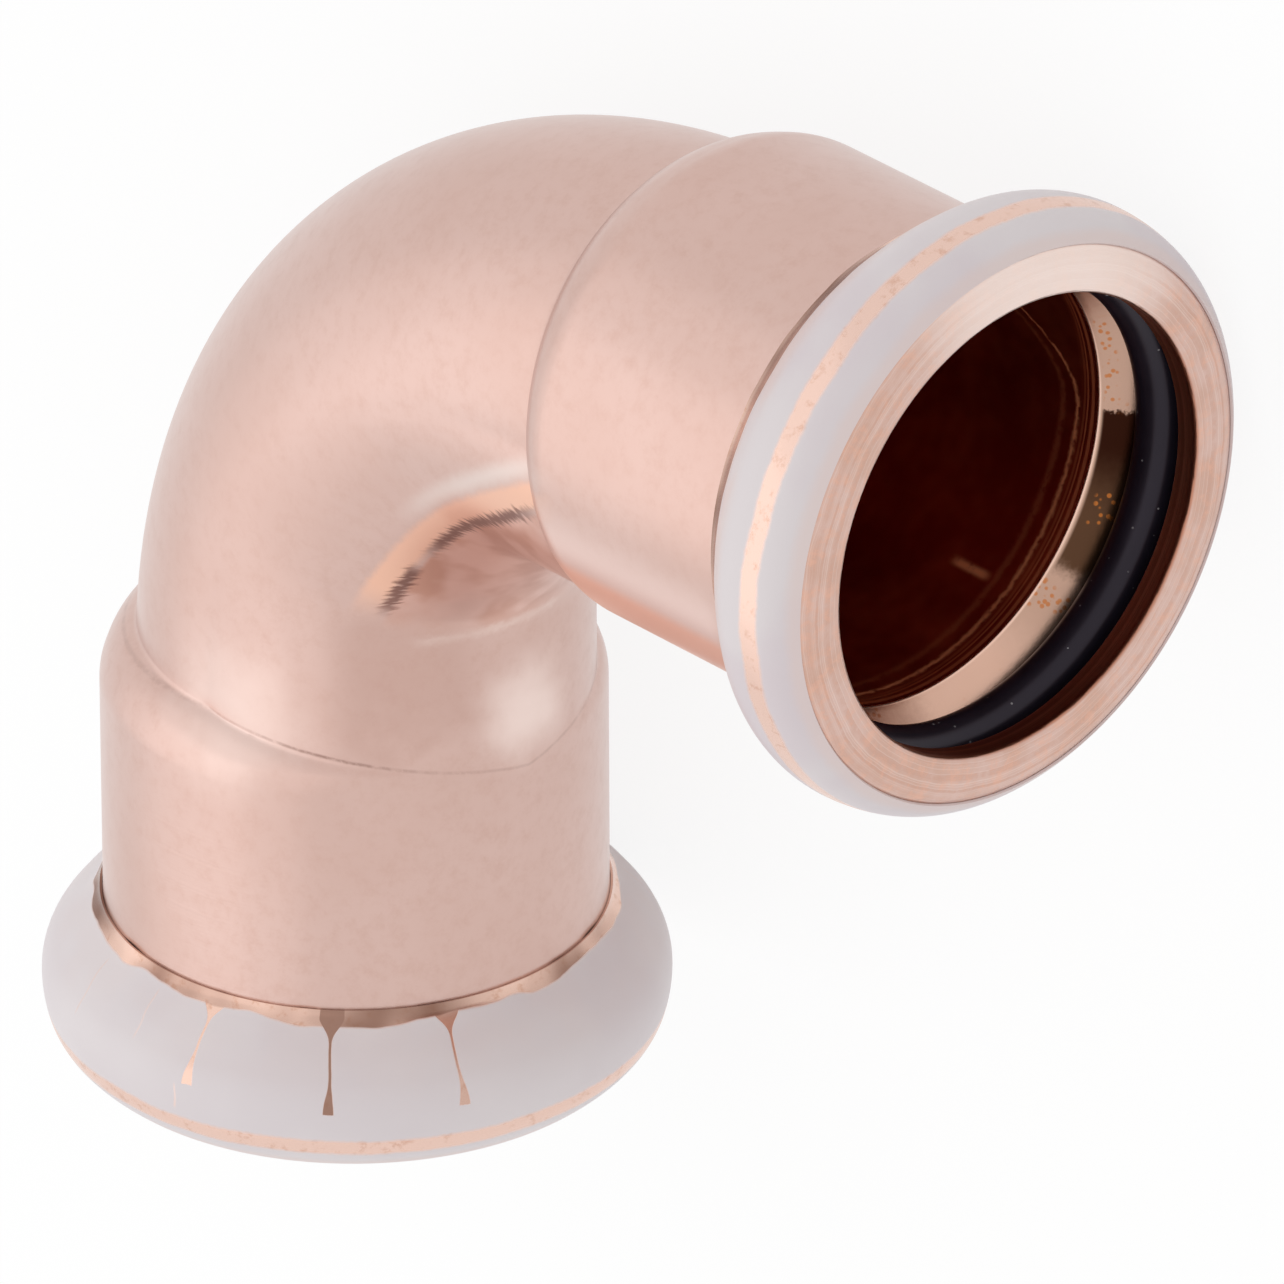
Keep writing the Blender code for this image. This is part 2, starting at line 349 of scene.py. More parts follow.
def bumpy(tree, height, strength, distance):
    """A surface direction from a height."""
    made = add_node(tree, "Bump", [("Height", height), ("Strength", strength), ("Distance", distance)])
    return made.outputs[0]


def mix_colour(tree, share, first, second):
    """From the first colour to the second, by a share from 0 to 1."""
    return add_node(tree, "Mix", [(0, share), (6, first), (7, second)], data_type="RGBA").outputs[2]


def lay_over(tree, colour, layers):
    """The colour with layers laid over it in turn, each with its share, its strength and its own colour."""
    for share, strength, paint in layers:
        colour = mix_colour(tree, times(tree, share, strength), colour, paint)
    return colour


def new_material(name):
    """A material, its node tree and its shader."""
    material = bpy.data.materials.new(name)
    material.use_nodes = True
    return material, material.node_tree, material.node_tree.nodes["Principled BSDF"]


def set_shader(tree, shader, **values):
    """Set the shader's inputs, joining those that are sockets."""
    for name, value in values.items():
        socket = shader.inputs[name.replace("_", " ").title().replace("Ior", "IOR")]
        if isinstance(value, bpy.types.NodeSocket):
            tree.links.new(value, socket)
        else:
            socket.default_value = value


def own_place(tree, **placing):
    """The piece's own coordinates in millimetres, turned and moved if that is asked for."""
    place = add_node(tree, "TexCoord")
    steps = [("Vector", place.outputs["Object"]), ("Scale", (1.0 / MM,) * 3)] + list(placing.items())
    return add_node(tree, "Mapping", steps).outputs[0]


RoundMouth = namedtuple("RoundMouth", "place depth radius angle")


def round_mouth(tree, mouth):
    """Coordinates of a mouth in millimetres, with the depth, the radius and the angle (in radians) in it."""
    back = (LYING @ mouth).inverted()
    place = own_place(tree, Rotation=back.to_euler("XYZ"), Location=back.to_translation() / MM)
    x, y, depth = add_node(tree, "SeparateXYZ", [(0, place)]).outputs
    radius = calc(tree, "SQRT", calc(tree, "ADD", times(tree, x, x), times(tree, y, y)))
    return RoundMouth(place, depth, radius, calc(tree, "ARCTAN2", y, x))


def bend_coordinates(tree, place):
    """Angle along the bend, and angle round the tube from its outer side, both in degrees."""
    x, y, z = add_node(tree, "SeparateXYZ", [(0, place)]).outputs
    across = calc(tree, "SUBTRACT", BEND_RADIUS / MM, x)
    along = calc(tree, "SUBTRACT", z, BEND_START / MM)
    reach = calc(tree, "SQRT", calc(tree, "MULTIPLY_ADD", across, across, times(tree, along, along)))
    outward = calc(tree, "SUBTRACT", reach, BEND_RADIUS / MM)
    tube = calc(tree, "ARCTAN2", calc(tree, "ABSOLUTE", y), outward)
    return degrees(tree, calc(tree, "ARCTAN2", along, across)), degrees(tree, tube)


def crease_line(tree, mouth, wobble):
    """A mask along the sharp inner corner where a shoulder meets the tube, for its painted shade."""
    drop = SHOULDER_DROP / MM
    sideways = times(tree, calc(tree, "SINE", mouth.angle), drop)
    upright = calc(tree, "SUBTRACT", (TUBE_RADIUS / MM) ** 2, times(tree, sideways, sideways))
    wall = calc(tree, "MULTIPLY_ADD", calc(tree, "COSINE", mouth.angle), drop, calc(tree, "SQRT", upright))
    wall = calc(tree, "MAXIMUM", wall, TUBE_RADIUS / MM)
    height = calc(tree, "SUBTRACT", wall, (SOCKET_RADIUS - SHOULDER_ROUND) / MM)
    run = calc(tree, "SUBTRACT", (SHOULDER_ROUND / MM) ** 2, times(tree, height, height))
    corner = calc(tree, "ADD", SHOULDER_START / MM, calc(tree, "SQRT", run))
    off = calc(tree, "ABSOLUTE", calc(tree, "SUBTRACT", sway(tree, mouth.depth, wobble, 0.12), corner))
    return ramp_up(tree, off, 0.17, 0.02)


# Painted highlights on the bend: where each spot is, its size and its strength.
HIGHLIGHT_SPOTS = (((15.2, 0.1, 28.2), 4.6, 0.8), ((3.4, -12.6, 28.0), 6.5, 0.45))
HIGHLIGHT_COPPER = (0.90, 0.73, 0.67, 1)
FOLD_MIDDLE = 32.0
FOLD_SAG = -0.0085
FOLD_TURN = 136.5


def copper_outside():
    """Satin copper with turning marks and faint tarnish, painted light round the throat's fold, and painted
    crease shade.
    """
    material, tree, shader = new_material("satin_copper_outside")
    where = own_place(tree)
    left = round_mouth(tree, LEFT_MOUTH)
    front = round_mouth(tree, FRONT_MOUTH)
    left_turn = degrees(tree, left.angle)
    front_turn = degrees(tree, calc(tree, "ABSOLUTE", front.angle))
    depth = calc(tree, "MINIMUM", left.depth, front.depth)
    bend, tube = bend_coordinates(tree, left.place)
    cloud = cloudy(tree, where, 0.07, 2.0, 0.6)
    patch = cloudy(tree, where, 0.28, 2.0)
    fleck = cloudy(tree, where, 0.9, 4.0, 0.75)
    ragged = cloudy(tree, where, 1.3, 4.0, 0.7)
    grain = cloudy(tree, where, 4.5, 2.0, 0.7)
    marks = streaky(tree, sway(tree, depth, fleck, 0.4), 5.0, 3.0)

    # Angles above the fold that runs along the throat, and the painted light on each side of it.
    sag = calc(tree, "SUBTRACT", bend, FOLD_MIDDLE)
    fold = calc(tree, "MULTIPLY_ADD", times(tree, sag, sag), FOLD_SAG, FOLD_TURN)
    above = calc(tree, "SUBTRACT", fold, sway(tree, tube, ragged, 2.0))
    # Above the fold a pale painted highlight band and an orange painted reflection, below it painted shade in
    # the hollow.
    pale = times(tree, window(tree, above, 10.0, 15.0, 2.5), window(tree, bend, 58.0, 88.0, 8.0))
    glow = times(tree, window(tree, above, 1.0, 8.5, 1.5), window(tree, bend, 32.0, 90.0, 5.0))
    hollow = times(tree, ramp_up(tree, above, 0.0, -2.0), window(tree, bend, 30.0, 86.0, 4.0))
    # Darker patches of painted shade in the hollow.
    hollow_shade_patches = times(tree, hollow, ramp_up(tree, patch, 0.42, 0.62))
    # A dark line of painted shade along the fold, which the bump also dents as a groove.
    hairs = streaky(tree, calc(tree, "MULTIPLY_ADD", above, 0.45, bend), 1.1, 3.0)
    near_fold = ramp_up(tree, calc(tree, "ABSOLUTE", sway(tree, above, hairs, 5.0)), 2.9, 0.5)
    lower_part = window(tree, bend, 31.0, 44.0, 2.0)
    upper_part = window(tree, bend, 51.0, 84.0, 4.0)
    dark = times(tree, near_fold, calc(tree, "ADD", lower_part, upper_part, clamp=True))

    # A pale painted highlight strip and a warm painted reflection beside the front socket.
    on_socket = window(tree, front.depth, 10.0, 26.0, 1.5)
    pale_highlight_strip = times(tree, ramp_up(tree, front_turn, 30.0, 50.0), ramp_up(tree, front_turn, 84.0, 67.0),
                   on_socket)
    warm_reflection_strip = times(tree, ramp_up(tree, front_turn, 12.0, 38.0), ramp_up(tree, front_turn, 65.0, 59.0),
                  on_socket)
    # A darker patch below the hollow.
    below = times(tree, window(tree, sway(tree, left.depth, patch, 9.0), 27.5, 37.0, 2.0),
                  window(tree, left_turn, -46.0, -14.0, 7.0))
    # A thin painted highlight along a line on the bend.
    painted_highlight_line = times(tree, window(tree, sway(tree, left.depth, ragged, 1.0), 34.0, 34.5, 0.35),
                     window(tree, left_turn, -27.0, 10.0, 4.0), patch)
    # Painted shade along the creases, strongest on part of the left one.
    darkest = window(tree, left_turn, -62.0, -36.0, 14.0)
    left_crease_shade = times(tree, crease_line(tree, left, fleck), calc(tree, "MULTIPLY_ADD", darkest, 0.7, 0.3))
    crease = calc(tree, "MAXIMUM", left_crease_shade, crease_line(tree, front, fleck))
    crease = times(tree, crease, ramp_up(tree, ragged, 0.25, 0.6))

    # Random darker flecks, then layers of painted highlight, reflection and shade, and a darker patch.
    layers = [(ramp_up(tree, fleck, 0.4, 0.8), 1.0, (0.615, 0.402, 0.342, 1)),
              (pale, 1.0, (0.74, 0.60, 0.55, 1)),
              (glow, 1.0, (0.86, 0.51, 0.37, 1)),
              (hollow, 0.75, (0.74, 0.44, 0.36, 1)),
              (hollow_shade_patches, 0.75, (0.52, 0.24, 0.16, 1)),
              (dark, 0.9, (0.20, 0.09, 0.07, 1)),
              (pale_highlight_strip, 0.85, (0.86, 0.64, 0.58, 1)),
              (warm_reflection_strip, 0.9, (0.97, 0.56, 0.42, 1)),
              (below, 0.5, (0.52, 0.315, 0.26, 1))]
    # Painted highlights: soft pale spots laid over the copper.
    for spot, size, strength in HIGHLIGHT_SPOTS:
        distance = add_node(tree, "VectorMath", [(0, left.place), (1, spot)], operation="DISTANCE")
        uneven = sway(tree, distance.outputs["Value"], patch, 3.0)
        layers.append((ramp_up(tree, uneven, size, 0.6), strength, HIGHLIGHT_COPPER))
    layers += [(painted_highlight_line, 0.7, (0.80, 0.64, 0.58, 1)), (crease, 0.75, (0.26, 0.14, 0.11, 1))]
    clean = mix_colour(tree, ramp_up(tree, cloud, 0.35, 0.68), (0.66, 0.455, 0.40, 1),
                       (0.637, 0.428, 0.37, 1))

    turning = times(tree, marks, ramp_up(tree, depth, 26.0, 22.0), 1.2)
    height = calc(tree, "MULTIPLY_ADD", grain, 0.6, calc(tree, "MULTIPLY_ADD", dark, -3.0, turning))
    set_shader(tree, shader, base_color=lay_over(tree, clean, layers), metallic=1.0,
               roughness=straight(tree, fleck, 0.27, 0.35), normal=bumpy(tree, height, 0.12, 0.04 * MM),
               coat_weight=calc(tree, "MULTIPLY_ADD", dark, -0.45, 0.45), coat_roughness=0.3)
    return material


RING_HIGHLIGHT_TURN = math.radians(190.0)


def copper_ring(name, mouth):
    """The turned-in lip's flat face, with the fine circles that the rolling tool leaves, light scuffs, and a
    painted highlight.
    """
    material, tree, shader = new_material(name)
    mouth = round_mouth(tree, mouth)
    patch = cloudy(tree, mouth.place, 0.22, 3.0, 0.6)
    wander = cloudy(tree, mouth.place, 0.25, 3.0)
    scuff = cloudy(tree, mouth.place, 0.8, 4.0, 0.75)
    shifted = calc(tree, "MULTIPLY_ADD", wander, 0.5, mouth.radius)
    fine = streaky(tree, shifted, 9.0, 2.0)
    broad = streaky(tree, shifted, 2.2, 2.0)
    circles = times(tree, ramp_up(tree, broad, 0.46, 0.66), ramp_up(tree, scuff, 0.3, 0.6))
    # A painted highlight lightens the face on one side of the ring.
    towards_highlight = calc(tree, "COSINE", calc(tree, "SUBTRACT", mouth.angle, RING_HIGHLIGHT_TURN))
    clean = mix_colour(tree, ramp_up(tree, patch, 0.38, 0.62), (0.62, 0.39, 0.31, 1), (0.68, 0.465, 0.40, 1))
    colour = lay_over(tree, clean, [(circles, 0.7, (0.58, 0.33, 0.25, 1)),
                                    (ramp_up(tree, fine, 0.52, 0.7), 0.4, (0.82, 0.66, 0.60, 1)),
                                    (ramp_up(tree, scuff, 0.45, 0.68), 0.6, (0.78, 0.44, 0.32, 1)),
                                    (ramp_up(tree, towards_highlight, 0.7, 1.0), 0.75, (0.93, 0.79, 0.73, 1)),
                                    (ramp_up(tree, mouth.radius, 14.42, 14.27), 1.0, (0.45, 0.19, 0.12, 1))])
    height = calc(tree, "MULTIPLY_ADD", broad, 2.0, calc(tree, "ADD", fine, scuff))
    set_shader(tree, shader, base_color=colour, metallic=1.0, roughness=0.3,
               normal=bumpy(tree, height, 0.35, 0.06 * MM), coat_weight=0.35, coat_roughness=0.3)
    return material


def copper_chamber(name, mouth, seal_reflection_start, seal_reflection_end):
    """Bright rolled copper inside the bead, brown before the seal, with orange specks, a painted reflection
    of the dark seal and a painted edge highlight.
    """
    material, tree, shader = new_material(name)
    where = own_place(tree)
    mouth = round_mouth(tree, mouth)
    turn = degrees(tree, mouth.angle)
    some = cloudy(tree, where, 0.23, 2.0)
    ragged = cloudy(tree, where, 2.2, 4.0, 0.7)
    specks = add_node(tree, "TexVoronoi", [("Vector", where), ("Scale", 2.4)]).outputs["Distance"]
    row = times(tree, window(tree, mouth.depth, 7.35, 7.95, 0.1), window(tree, turn, -112.0, -88.0, 1.0))
    few = calc(tree, "MAXIMUM", row, ramp_up(tree, some, 0.58, 0.64))
    # A painted reflection of the dark seal part of the way round the flank, with painted shade where it fades
    # out.
    jagged = sway(tree, turn, ragged, 5.0)
    seal_reflection = times(tree, ramp_up(tree, jagged, seal_reflection_start - 0.6, seal_reflection_start + 0.6),
                    window(tree, mouth.depth, 5.0, 8.0, 0.08))
    faint = times(tree, seal_reflection, ramp_up(tree, jagged, seal_reflection_end + 2.5, seal_reflection_end - 2.5))
    deep = times(tree, seal_reflection, ramp_up(tree, jagged, seal_reflection_start + 26.0, seal_reflection_start + 8.0))
    lip_lines = streaky(tree, mouth.depth, 4.0, 2.0)
    lip = mix_colour(tree, ramp_up(tree, lip_lines, 0.45, 0.65), (0.42, 0.15, 0.09, 1), (0.62, 0.26, 0.16, 1))
    clean = mix_colour(tree, some, (0.70, 0.45, 0.35, 1), (0.64, 0.39, 0.29, 1))
    # The first three layers are that painted shade and the painted reflection, faint and deep.
    layers = [(ramp_up(tree, jagged, seal_reflection_end + 30.0, seal_reflection_end + 8.0), 0.5, (0.35, 0.22, 0.16, 1)),
              (faint, 0.95, (0.078, 0.034, 0.015, 1)),
              (deep, 0.9, (0.022, 0.004, 0.002, 1)),
              (times(tree, ramp_up(tree, specks, 0.42, 0.25), few), 0.8, (0.50, 0.16, 0.035, 1)),
              (window(tree, jagged, 4.0, 70.0, 6.0), 0.6, (0.26, 0.13, 0.09, 1)),
              (ramp_up(tree, mouth.depth, 3.4, 2.4), 1.0, lip),
              # A painted highlight along the edge where the bore begins.
              (ramp_up(tree, mouth.depth, 8.05, 8.15), 1.0, (0.82, 0.55, 0.44, 1))]
    set_shader(tree, shader, base_color=lay_over(tree, clean, layers), metallic=1.0,
               roughness=straight(tree, mouth.depth, 0.38, 0.22, 2.0, 3.4),
               normal=bumpy(tree, ragged, 0.2, 0.03 * MM))
    return material


def copper_bore(name, mouth):
    """The bore, dark brown-red from annealing, with faint rings and a scrape where the mandrel ran."""
    material, tree, shader = new_material(name)
    where = own_place(tree)
    mouth = round_mouth(tree, mouth)
    turn = degrees(tree, mouth.angle)
    cloud = cloudy(tree, where, 0.12, 3.0, 0.6)
    grain = cloudy(tree, where, 1.6, 2.0, 0.6)
    scored = streaky(tree, mouth.depth, 4.0, 2.0)
    lean = calc(tree, "MAXIMUM", calc(tree, "SUBTRACT", -84.0, turn), 0.0)
    level = calc(tree, "MULTIPLY_ADD", times(tree, lean, lean), -0.0102, mouth.depth)
    level = sway(tree, level, grain, 0.5)
    rings = calc(tree, "MAXIMUM", window(tree, level, 9.72, 9.98, 0.18),
                 times(tree, window(tree, level, 10.9, 11.2, 0.3), 0.45))
    scrape = times(tree, window(tree, mouth.depth, 11.6, 14.4, 0.5), window(tree, turn, -38.2, -36.0, 0.9))
    light = times(tree, calc(tree, "MAXIMUM", rings, scrape), ramp_up(tree, grain, 0.2, 0.5))
    near_edge = times(tree, window(tree, mouth.depth, 8.3, 9.4, 0.4), ramp_up(tree, scored, 0.38, 0.6))
    clean = mix_colour(tree, ramp_up(tree, cloud, 0.38, 0.7), (0.33, 0.033, 0.016, 1), (0.56, 0.13, 0.055, 1))
    colour = lay_over(tree, clean, [(near_edge, 0.7, (0.72, 0.24, 0.11, 1)),
                                    (light, 1.0, (0.88, 0.40, 0.20, 1))])
    worn = calc(tree, "MAXIMUM", light, times(tree, near_edge, 0.6))
    set_shader(tree, shader, base_color=colour, metallic=1.0, roughness=straight(tree, worn, 0.44, 0.75),
               normal=bumpy(tree, grain, 0.2, 0.05 * MM), specular_tint=(0.6, 0.16, 0.08, 1))
    return material


for finish in (copper_outside(),
               copper_ring("rolled_copper_left_ring", LEFT_MOUTH),
               copper_ring("rolled_copper_front_ring", FRONT_MOUTH),
               copper_chamber("bright_copper_left_chamber", LEFT_MOUTH, 40.0, 79.0),
               copper_chamber("bright_copper_front_chamber", FRONT_MOUTH, -86.0, -47.0),
               copper_bore("annealed_copper_left_bore", LEFT_MOUTH),
               copper_bore("annealed_copper_front_bore", FRONT_MOUTH)):
    body.data.materials.append(finish)
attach(body, "root")
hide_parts("elbow_body")

# The two seal rings are moulded from black rubber and lie loose in the hollow beads, one in each.
# A thin ridge round the inside and the outside shows where the two halves of the mould met.
SEAL_RADIUS = 15.45 * MM
SEAL_SECTION = 3.18 * MM
SEAL_DEPTH = 4.25 * MM
SEAL_RIDGE = 0.04 * MM
SEAL_ROUND = 160
SEAL_SECTION_ROUND = 32
RIDGE_REACH = 0.002 * MM


def seal_rubber():
    """Satin black rubber with a little silicone film and a few specks of dust."""
    material, tree, shader = new_material("satin_black_rubber")
    where = own_place(tree)
    film = cloudy(tree, where, 0.5, 4.0)
    sparse = cloudy(tree, where, 0.4, 2.0)
    dust = add_node(tree, "TexVoronoi", [("Vector", where), ("Scale", 1.3)]).outputs["Distance"]
    speck = times(tree, calc(tree, "LESS_THAN", dust, 0.09), ramp_up(tree, sparse, 0.48, 0.56))
    black = mix_colour(tree, film, (0.008, 0.006, 0.010, 1), (0.016, 0.013, 0.021, 1))
    set_shader(tree, shader, base_color=mix_colour(tree, speck, black, (0.30, 0.29, 0.30, 1)),
               roughness=straight(tree, film, 0.26, 0.36), normal=bumpy(tree, film, 0.15, 0.05 * MM),
               specular_ior_level=0.32, specular_tint=(0.96, 0.84, 1.0, 1))
    return material


def make_seal(name, node_name, mouth, rubber):
    """A ring in its chamber. Its two mould ridges are the inner and outer edge, selected and resized."""
    bpy.ops.object.select_all(action="DESELECT")
    bpy.ops.mesh.primitive_torus_add(major_segments=SEAL_ROUND, minor_segments=SEAL_SECTION_ROUND,
                                     major_radius=SEAL_RADIUS, minor_radius=SEAL_SECTION / 2,
                                     location=(0.0, 0.0, SEAL_DEPTH))
    seal = bpy.context.object
    seal.name = name
    seal.data.name = name
    bpy.ops.object.mode_set(mode="EDIT")
    for side in (-1.0, 1.0):
        edge_radius = SEAL_RADIUS + side * SEAL_SECTION / 2
        bpy.ops.mesh.select_all(action="DESELECT")
        mesh = bmesh.from_edit_mesh(seal.data)
        for vertex in mesh.verts:
            vertex.select = abs(math.hypot(vertex.co.x, vertex.co.y) - edge_radius) < RIDGE_REACH
        mesh.select_flush(True)
        bmesh.update_edit_mesh(seal.data)
        scale = (edge_radius + side * SEAL_RIDGE) / edge_radius
        bpy.ops.transform.resize(value=(scale, scale, 1.0), center_override=(0.0, 0.0, SEAL_DEPTH))
    bpy.ops.object.mode_set(mode="OBJECT")
    bpy.ops.object.transform_apply(location=True)
    seal.data.transform(LYING @ mouth)
    bpy.ops.object.shade_smooth()
    seal.data.materials.append(rubber)
    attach(seal, "root")
    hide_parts(node_name)


rubber = seal_rubber()
make_seal("left_seal", "left_seal_ring", LEFT_MOUTH, rubber)
make_seal("front_seal", "front_seal_ring", FRONT_MOUTH, rubber)

# The indicator sleeves are thin plastic film, shrunk over the beads and printed pale grey. A band and
# narrow slits are left unprinted, so the copper shows through, and the film puckers along its back edge.
SLEEVE_ROUND = 240
SLEEVE_OFFSET = 0.41 * MM
SLEEVE_WALL = 0.15 * MM
SLEEVE_FRONT = math.radians(27.0)
FILM_EDGE = 0.165 * MM
FILM_FOOT = 0.17 * MM
FILM_END = math.radians(12.0)
FILM_NOSE_STEPS = 24
FILM_FLANK_STEPS = 14
FILM_FOOT_STEPS = 5
PUCKER_START = 7.0 * MM
PUCKER_HEIGHT = 0.12 * MM
PUCKER_SCALE = 0.42 / MM
PUCKER_DEPTH_SCALE = 0.25
PUCKER_SHIFT = 90.0 * MM
PRINT_RADIUS = 18.0


def film_section():
    """The film's outside: close to the copper at both edges, and a little slack over the bead's crest."""
    height = CREST_RADIUS - NOSE_RADIUS
    points = []
    for step in range(FILM_NOSE_STEPS + 1):
        share = step / FILM_NOSE_STEPS
        angle = (SLEEVE_FRONT - math.pi / 2) * (1.0 - share)
        slack = FILM_EDGE + (SLEEVE_OFFSET - FILM_EDGE) * smooth_step(share, 0.0, 0.6)
        points += arc(CREST_DEPTH, NOSE_RADIUS, CREST_DEPTH + slack, height + slack, angle, angle, 1)[:1]
    size = CREST_ROUND + SLEEVE_OFFSET
    points += arc(CREST_DEPTH, CREST_RADIUS - CREST_ROUND, size, size, 0.0, FLANK_ANGLE, BEAD_STEPS)[1:]
    outside = bead_section(BEAD_STEPS)
    foot_start = outside[-BEAD_STEPS - 1]
    crest_end = outside[-2 * BEAD_STEPS - 1]
    for step in range(1, FILM_FLANK_STEPS + 1):
        share = step / FILM_FLANK_STEPS
        slack = SLEEVE_OFFSET - (SLEEVE_OFFSET - FILM_FOOT) * smooth_step(share, 0.2, 1.0)
        points.append((crest_end[0] + (foot_start[0] - crest_end[0]) * share + slack * math.sin(FLANK_ANGLE),
                       crest_end[1] + (foot_start[1] - crest_end[1]) * share + slack * math.cos(FLANK_ANGLE)))
    round_left = FOOT_ROUND - FILM_FOOT
    points += arc(foot_start[0] + FOOT_ROUND * math.sin(FLANK_ANGLE), SOCKET_RADIUS + FOOT_ROUND,
                  round_left, round_left, math.pi + FLANK_ANGLE, math.pi + FILM_END, FILM_FOOT_STEPS)[1:]
    return points


def make_sleeve(name, node_name, mouth, seed, printed):
    """A film over its bead: its section carried round, its back edge puckered, and given its thickness."""
    section = film_section()
    sleeve = start_ring(name, section[0], SLEEVE_ROUND)
    raise_rings(section)
    bpy.ops.object.mode_set(mode="OBJECT")
    bpy.ops.object.transform_apply(location=True)
    for vertex in sleeve.data.vertices:
        x, y, depth = vertex.co
        radius = math.hypot(x, y)
        back = smooth_step(depth, PUCKER_START, section[-1][0])
        place = Vector((x, y, depth * PUCKER_DEPTH_SCALE + PUCKER_SHIFT * seed))
        lift = PUCKER_HEIGHT * max(noise.noise(place * PUCKER_SCALE), 0.0) * back
        vertex.co.x = x * (radius + lift * math.cos(FLANK_ANGLE)) / radius
        vertex.co.y = y * (radius + lift * math.cos(FLANK_ANGLE)) / radius
        vertex.co.z = depth + lift * math.sin(FLANK_ANGLE)
    face_outward()
    wall = sleeve.modifiers.new("film", "SOLIDIFY")
    wall.thickness = SLEEVE_WALL
    wall.offset = -1.0
    bpy.ops.object.modifier_apply(modifier="film")
    sleeve.data.transform(LYING @ mouth)
    bpy.ops.object.shade_smooth_by_angle(angle=SMOOTH_BELOW)
    sleeve.data.materials.append(printed)
    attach(sleeve, "root")
    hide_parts(node_name)


def aside_from(tree, angle, line_turn, wobble, amount):
    """Distance in millimetres round the bead, to either side of a line that wanders a little."""
    turned = calc(tree, "SUBTRACT", angle, math.radians(line_turn))
    return calc(tree, "ABSOLUTE", sway(tree, times(tree, turned, PRINT_RADIUS), wobble, amount))


def sleeve_print(name, mouth, band, top, slits, creases, tones, clearness):
    """Printed film: pale grey, bare over the band, behind the end of the print, and in each slit.

    A slit has its angle, the depth of its foot and the darkness of its painted shade. A hair crease has
    its angle, the depths of its far and near end, and its strength. Angles are in degrees and depths in
    millimetres.
    """
    material, tree, shader = new_material(name)
    where = own_place(tree)
    mouth = round_mouth(tree, mouth)
    dull = cloudy(tree, mouth.place, 0.13, 2.0)
    wander = cloudy(tree, mouth.place, 0.3, 1.6, 0.45)
    fine = cloudy(tree, mouth.place, 2.5, 3.0)
    tint = cloudy(tree, where, 0.12, 2.0)
    mottle = cloudy(tree, where, 1.1, 5.0, 0.7)
    ragged = sway(tree, sway(tree, mouth.depth, wander, 0.35), fine, 0.18)
    edge = sway(tree, mouth.depth, wander, 0.8)
    behind = ramp_up(tree, edge, top - 0.08, top + 0.08)
    bare = calc(tree, "MAXIMUM", times(tree, window(tree, ragged, band[0], band[1], 0.16), 0.9), behind)
    # Painted shade darkens the bare copper behind the print and in the slits.
    shade = times(tree, behind, ramp_up(tree, dull, 0.35, 0.7))
    for turn, foot, darkness in slits:
        aside = aside_from(tree, mouth.angle, turn, wander, 0.5)
        spread = times(tree, ramp_up(tree, mouth.depth, top - 1.1, top + 0.35), 0.9)
        flare = times(tree, ramp_up(tree, mouth.depth, foot + 1.9, foot), 0.24)
        width = calc(tree, "ADD", calc(tree, "MULTIPLY_ADD", spread, spread, flare), 0.10)
        slit = times(tree, ramp_up(tree, calc(tree, "SUBTRACT", width, aside), -0.03, 0.05),
                     ramp_up(tree, ragged, foot - 0.05, foot + 0.05))
        bare = calc(tree, "MAXIMUM", bare, slit)
        shade = calc(tree, "MAXIMUM", shade, times(tree, slit, darkness))
    for turn, far, near, strength in creases:
        aside = aside_from(tree, mouth.angle, turn, wander, 1.0)
        hair = times(tree, ramp_up(tree, aside, 0.12, 0.02), window(tree, mouth.depth, near, far, 0.2),
                     strength)
        bare = calc(tree, "MAXIMUM", bare, hair)
    copper = mix_colour(tree, ramp_up(tree, mottle, 0.52, 0.7), (0.82, 0.56, 0.46, 1), (0.70, 0.42, 0.31, 1))
    copper = mix_colour(tree, shade, copper, (0.24, 0.12, 0.085, 1))
    thin_front = times(tree, ramp_up(tree, ragged, 1.15, 0.5), 0.55)
    thin_back = times(tree, ramp_up(tree, edge, 5.0, 7.5), clearness, ramp_up(tree, wander, 0.3, 0.6))
    thin = calc(tree, "MAXIMUM", thin_front, thin_back)
    printed = mix_colour(tree, ramp_up(tree, tint, 0.35, 0.65), tones[0], tones[1])
    printed = mix_colour(tree, thin, printed, (0.79, 0.62, 0.575, 1))
    height = calc(tree, "MULTIPLY_ADD", bare, -0.5, times(tree, wander, 0.8))
    set_shader(tree, shader, base_color=mix_colour(tree, bare, printed, copper),
               metallic=times(tree, bare, 0.95), roughness=straight(tree, bare, 0.42, 0.24),
               normal=bumpy(tree, height, 0.25, 0.12 * MM))
    return material


left_print = sleeve_print(
    "left_sleeve_print", LEFT_MOUTH, band=(1.6, 2.7), top=8.95,
    slits=[(-75.0, 5.06, 0.1), (-47.8, 4.55, 0.85), (-23.0, 4.54, 0.35),
           (105.0, 5.0, 0.1), (131.0, 4.6, 0.6), (158.0, 4.6, 0.3)],
    creases=[(-107.3, 8.4, 5.5, 0.35), (-90.0, 8.65, 6.3, 0.35), (-77.4, 4.8, 3.25, 0.5),
             (60.0, 8.4, 6.0, 0.3)],
    tones=((0.74, 0.675, 0.69, 1), (0.77, 0.71, 0.72, 1)), clearness=0.1)
front_print = sleeve_print(
    "front_sleeve_print", FRONT_MOUTH, band=(2.4, 3.6), top=8.35,
    slits=[(-15.0, 5.0, 0.1), (12.0, 4.6, 0.7), (38.0, 4.6, 0.3)],
    creases=[(-60.0, 8.2, 6.2, 0.3), (170.0, 8.3, 6.4, 0.3)],
    tones=((0.71, 0.63, 0.655, 1), (0.75, 0.69, 0.70, 1)), clearness=0.55)
